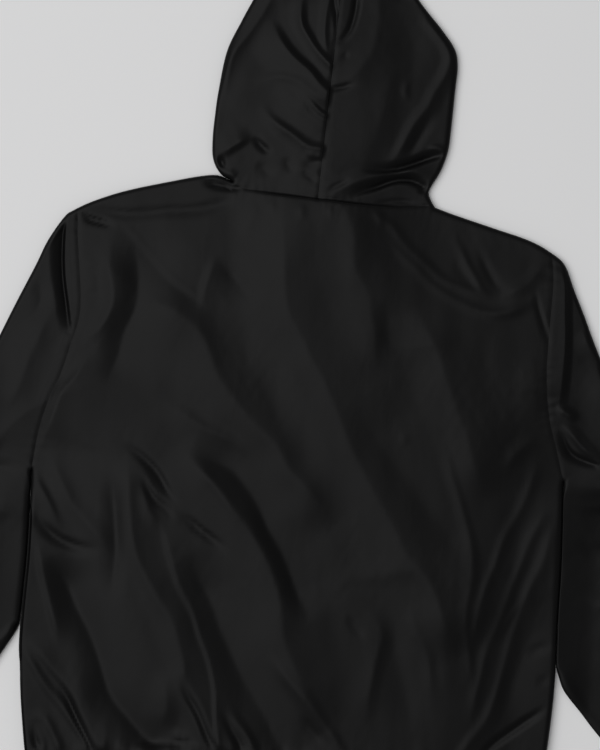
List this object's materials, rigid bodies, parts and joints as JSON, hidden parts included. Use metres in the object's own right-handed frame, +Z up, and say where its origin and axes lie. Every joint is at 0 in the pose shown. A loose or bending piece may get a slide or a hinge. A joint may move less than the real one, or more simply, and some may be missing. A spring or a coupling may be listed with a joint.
{
  "type": "windbreaker jacket",
  "caption": "Hooded windbreaker jacket of thin black cloth with a front zip, elastic hem and elastic cuffs, laid flat with its back up.",
  "frame": {"origin": "middle of the jacket's box in plan, on the surface that the jacket rests on", "axes": "+X across the shoulders, to the right when seen from above; +Y from the hem to the hood; +Z up, out of the jacket's back"},
  "size_m": [1.069, 1.0161, 0.0245],
  "materials": {
    "black_cloth": "thin woven nylon with a soft satin sheen",
    "zip_tape": "matt woven tape",
    "zip_teeth": "moulded plastic teeth",
    "dark_metal": "dark lacquered metal"
  },
  "bodies": {
    "jacket": {"back_panel": "black_cloth", "front_left": "black_cloth", "front_right": "black_cloth", "sleeve_left_top": "black_cloth", "sleeve_left_under": "black_cloth", "sleeve_right_top": "black_cloth", "sleeve_right_under": "black_cloth", "cuff_left": "black_cloth", "cuff_right": "black_cloth", "hood_left": "black_cloth", "hood_right": "black_cloth", "hem_band": "black_cloth", "zip_tape_left": "zip_tape", "zip_tape_right": "zip_tape", "zip_chain": "zip_teeth", "zip_slider": "dark_metal"},
    "pull": {"zip_pull": "dark_metal"}
  },
  "joints": [
    {"name": "pull_tab_swing", "type": "hinge", "parent": "jacket", "child": "pull", "pos_m": [-0.0285, 0.099, 0.0019], "axis": [1, 0, 0], "range_deg": [0, 150]}
  ]
}
